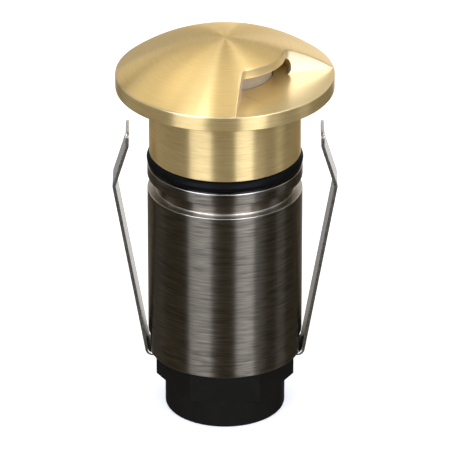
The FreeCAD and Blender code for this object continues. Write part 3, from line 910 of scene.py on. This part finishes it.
def strip_steel():
    """Bright rolled faces, duller sheared sides, a dark foot and a painted highlight in the bend.
    """
    recipe = Recipe("spring_steel_finish")
    x, y, z = recipe.places()[:3]
    lines = recipe.noise(recipe.vector(x * 1.5, y * 9, z * 0.5), 1.0, 3.0, 0.6)
    grain = recipe.noise(recipe.vector(x, y, z), 4.0, 3.0, 0.7)
    wear = (lines * 0.6 + grain * 0.4).step(0.3, 0.7)
    sheared = y.maths("ABSOLUTE", y).step(strip_half_width - 0.14, strip_half_width - 0.08)
    rolled = recipe.mix(wear, tint(0.86, 0.83, 0.76), tint(0.97, 0.94, 0.87))
    across = x.maths("ABSOLUTE", x)
    # Painted highlight: a small bright crescent on the sheared side inside the lower bend, nearly
    # white and hardly metallic.
    in_bend = 1 - off_ring(z, across, bend_height, bend_across).step(1.15, 1.30)
    painted_bend_highlight = sheared * in_bend * (1 - (z - bend_height).step(-0.5, 0.1))
    colour = recipe.mix(dark_foot(across, z), rolled, tint(0.10, 0.095, 0.085))
    colour = recipe.mix(sheared, colour, tint(0.70, 0.65, 0.54))
    recipe.shader({"Base Color": recipe.mix(painted_bend_highlight, colour, tint(1.0, 0.97, 0.90)),
                   "Metallic": 1 - painted_bend_highlight * 0.9,
                   "Roughness": 0.22 + wear * 0.12,
                   "Normal": recipe.bump(lines, 0.15)})
    return recipe.data


steel = strip_steel()

# %% [markdown]
# Rubber, nylon and the lens
# None of these is metal, so they get their look from a low reflection over a body colour. The
# rubber ring is matt with a dusty bloom, the nylon has the fine grain of its mould, and the
# lens is milky, with a soft gloss.

# %% Moulded finishes
def moulded(name, colour, second, roughness, grain_size, grain_depth, swing=0.1, shine=0.5):
    """A moulded or coated surface: two close colours, a mean roughness and a fine grain."""
    recipe = Recipe(name)
    place = recipe.vector(*recipe.places()[:3])
    cloud = recipe.noise(place, 0.35, 3.0, 0.55)
    grain = recipe.noise(place, 1 / grain_size, 2.0, 0.6)
    mottle = (cloud * 0.7 + grain * 0.3).step(0.3, 0.7)
    recipe.shader({"Base Color": recipe.mix(mottle, tint(*colour), tint(*second)),
                   "Roughness": roughness + (cloud - 0.5) * swing,
                   "Specular IOR Level": shine,
                   "Normal": recipe.bump(grain, grain_depth)})
    return recipe.data


rubber = moulded("seal_rubber_finish", (0.0022, 0.002, 0.0018), (0.004, 0.0035, 0.003),
                 0.45, 0.25, 0.08, shine=0.10)
nylon = moulded("black_nylon_finish", (0.0082, 0.0073, 0.0055), (0.0100, 0.0088, 0.0067),
                0.42, 0.18, 0.10, shine=0.04)
frosted = moulded("frosted_lens_finish", (0.38, 0.30, 0.19), (0.46, 0.37, 0.24),
                  0.30, 0.12, 0.05)
print("moulded finishes:", rubber.name, nylon.name, frosted.name)

# %% [markdown]
# Inside pieces
# The lamp, its heat sink and its driver can't be seen once the light is closed, but each has
# its own finish, so that the model can be opened or cut through. The same moulded recipe serves
# the plastics, boards and rubbers, with its own colours and grain for each.

# %% Finishes of the inside pieces
sink_recipe = Recipe("turned_aluminium_finish")
brushed(sink_recipe, (0.74, 0.75, 0.76), (0.62, 0.63, 0.64), 0.38, 0.7, 0.12, 1.0)
sink_metal = sink_recipe.data
looks = {
    "lens_gasket": ("silicone", (0.55, 0.55, 0.52), (0.62, 0.62, 0.60), 0.6, 0.3, 0.06),
    "led_board": ("white_board", (0.78, 0.78, 0.76), (0.84, 0.84, 0.82), 0.35, 0.5, 0.03),
    "led_emitter": ("phosphor", (0.80, 0.62, 0.12), (0.88, 0.72, 0.20), 0.35, 0.15, 0.05),
    "reflector": ("white_plastic", (0.76, 0.76, 0.74), (0.82, 0.82, 0.80), 0.3, 0.4, 0.03),
    "led_board_screws": ("screw_steel", (0.50, 0.50, 0.50), (0.60, 0.60, 0.60), 0.3, 0.2, 0.1),
    "driver_cradle": ("cradle_plastic", (0.70, 0.70, 0.68), (0.76, 0.76, 0.74), 0.45, 0.3, 0.06),
    "driver_board": ("green_board", (0.02, 0.13, 0.05), (0.03, 0.19, 0.08), 0.35, 0.8, 0.05),
    "driver_inductor": ("ferrite", (0.05, 0.045, 0.045), (0.08, 0.07, 0.07), 0.6, 0.2, 0.2),
    "driver_capacitor": ("capacitor", (0.35, 0.36, 0.38), (0.42, 0.43, 0.45), 0.35, 0.4, 0.04),
    "driver_chip": ("chip", (0.012, 0.012, 0.012), (0.022, 0.022, 0.022), 0.55, 0.15, 0.15),
    "terminal_block": ("terminal", (0.03, 0.20, 0.08), (0.04, 0.26, 0.11), 0.4, 0.3, 0.05),
    "left_led_lead": ("black_lead", (0.012, 0.012, 0.012), (0.02, 0.02, 0.02), 0.5, 0.3, 0.06),
    "right_led_lead": ("red_lead", (0.30, 0.01, 0.01), (0.38, 0.02, 0.015), 0.5, 0.3, 0.06)}
inside = {"lens_retaining_ring": sink_metal, "heat_sink": sink_metal, "base_gasket": rubber}
for node, (name, *look) in looks.items():
    inside[node] = moulded(name + "_finish", *look)


def paint(piece, finish):
    """Gives a piece one finish in place of any it has."""
    piece.data.materials.clear()
    piece.data.materials.append(finish)


for node, finish in inside.items():
    paint(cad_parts[node], finish)
print("inside pieces painted:", len(inside))

# %% [markdown]
# Put each piece on its body
# A new piece stands for a CAD node, takes its finish and moves with a CAD body. The clips bend
# at their lower curve, but here each only gets its finish, its CAD leg is hidden and its
# transform is baked into its mesh; it is not put on a body.

# %% Bodies, slots and replaced nodes
dressed = [
    (hood, brass, "brushed_brass", "root", "hood"),
    (lens, frosted, "frosted_lens", "root", "lens"),
    (seal, rubber, "seal_rubber", "root", "neck_o_ring"),
    (sleeve, gunmetal, "gunmetal_sleeve", "root", "body_sleeve"),
    (gland, nylon, "black_nylon", "root", "gland_body"),
    (grommet, rubber, "seal_rubber", "root", "gland_grommet"),
    (washer, nylon, "black_nylon", "gland_washer", "gland_slip_washer"),
    (nut, nylon, "black_nylon", "gland_nut", "gland_clamp_nut"),
    (clip_disc, steel, "spring_steel", "root", "clip_base")]
for piece, finish, slot_name, body, node in dressed:
    paint(piece, finish)
    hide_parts(node)
    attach(piece, body)

for piece, body, node, side in ((right_clip, "right_clip", "right_clip_leg", 1),
                                (left_clip, "left_clip", "left_clip_leg", -1)):
    paint(piece, steel)
    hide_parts(node)
    side * 0.0150
    side * 0.0166
    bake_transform(piece)

# %% [markdown]
# Studio
# The photograph has a plain white ground. Its highlights tell where the lamps were: one broad
# soft box to the left of the camera and a narrower one to the right, each with a weaker one
# above it, and darkness between them. Cards at the sides, a wide box overhead and a few small
# ones behind keep the metal from going black, and two strips high up draw the rays on the dome.
# The floor glows a little, to look white beside the light, and doesn't show in the metal.

# %% Floor
bpy.ops.object.select_all(action="DESELECT")
bpy.ops.mesh.primitive_plane_add(size=6)
floor = bpy.context.object
floor.name = "studio_floor"
floor.visible_glossy = False
ground = Recipe("pale_floor")
ground.shader({"Base Color": tint(0.92, 0.92, 0.92), "Roughness": 0.9,
               "Emission Color": tint(1, 1, 1), "Emission Strength": 0.47})
paint(floor, ground.data)

# %% Lamps
aim = Vector((0, 0, 0.045))


def soft_box(name, azimuth, elevation, width, height, glow, tone=(1.0, 0.98, 0.92), distance=0.8):
    """A lamp that faces the light; azimuth counts from the camera's side to the right."""
    turn_to = math.radians(azimuth)
    rise = math.radians(elevation)
    toward = Vector((math.sin(turn_to) * math.cos(rise), -math.cos(turn_to) * math.cos(rise),
                     math.sin(rise)))
    lamp = bpy.data.lights.new(name, "AREA")
    lamp.shape = "RECTANGLE"
    lamp.size = width
    lamp.size_y = height
    lamp.color = tone
    lamp.energy = glow * math.pi * width * height
    holder = bpy.data.objects.new(name, lamp)
    holder.location = aim + toward * distance
    holder.rotation_euler = toward.to_track_quat("Z", "Y").to_euler()
    holder.visible_camera = False
    bpy.context.scene.collection.objects.link(holder)


daylight = (0.88, 1.0, 1.3)
soft_box("left_key", -36, 12, 0.46, 0.34, 5.5, daylight)
soft_box("left_key_upper", -30, 36, 0.34, 0.34, 2.2, daylight)
soft_box("right_key", 28.5, 12, 0.36, 0.34, 6.5, daylight)
soft_box("right_key_upper", 46, 36, 0.36, 0.34, 2.8, daylight)
soft_box("right_card", 86, 12, 0.22, 0.5, 0.75, daylight)
soft_box("left_card", -112, 12, 0.40, 0.5, 0.26, daylight)
soft_box("overhead", 0, 89, 1.3, 1.3, 1.0, distance=1.0)
soft_box("rear_left", -130, 48, 0.80, 0.50, 0.85)
soft_box("rear_right", 135, 48, 0.70, 0.50, 0.68)
soft_box("rear_low", -147, 18, 0.30, 0.25, 0.6)
soft_box("rear_slit", 180, 6, 0.03, 0.20, 2.0)
soft_box("left_strip", -32, 60, 0.09, 0.30, 4.8, daylight)
soft_box("right_strip", 68, 60, 0.09, 0.30, 4.0, daylight)

# %% [markdown]
# Air and view
# The metal mirrors the room as well as the lamps. The air is nearly dark and a little warm, but
# behind the light it is a pale wall, brighter on the right, which the flat faces of the clips
# mirror. To the camera it is plain white.

# %% World and view
sky = Recipe("studio_air", "worlds")
is_camera = sky.node("ShaderNodeLightPath")
toward_air = sky.node("ShaderNodeTexCoord", output="Generated")
behind = sky.node("ShaderNodeSeparateXYZ", sockets={0: toward_air}, output="Y").step(0.75, 0.98)
rightwards = sky.node("ShaderNodeSeparateXYZ", sockets={0: toward_air}, output="X").step(-0.1, 0.2)
wall_light = sky.mix(rightwards, tint(0.44, 0.44, 0.44), tint(1.2, 1.2, 1.2))
air = sky.mix(behind, tint(0.072, 0.067, 0.057), wall_light)
shade = sky.mix(is_camera, air, tint(1, 1, 1))
sky.plug(sky.tree.nodes["Background"].inputs["Color"], shade)
bpy.context.scene.world = sky.data
bpy.context.scene.view_settings.view_transform = "Standard"

# %% [markdown]
# Camera
# The ellipses of the rim, the sleeve and the gland were fitted together: the camera looks down
# by about 26 degrees from a metre away through a long lens.

# %% Set up the camera
look_down = math.radians(26.15)
look_at_height = 0.04086
focal_length = 386.8
camera_lens = bpy.data.cameras.new("photo_camera")
camera_lens.sensor_width = 36
camera_lens.lens = focal_length
camera_lens.clip_start = 0.05
camera = bpy.data.objects.new("photo_camera", camera_lens)
camera.location = (0, -math.cos(look_down), math.sin(look_down) + look_at_height)
camera.rotation_euler = (math.pi / 2 - look_down, 0, 0)
bpy.context.scene.collection.objects.link(camera)
bpy.context.scene.camera = camera
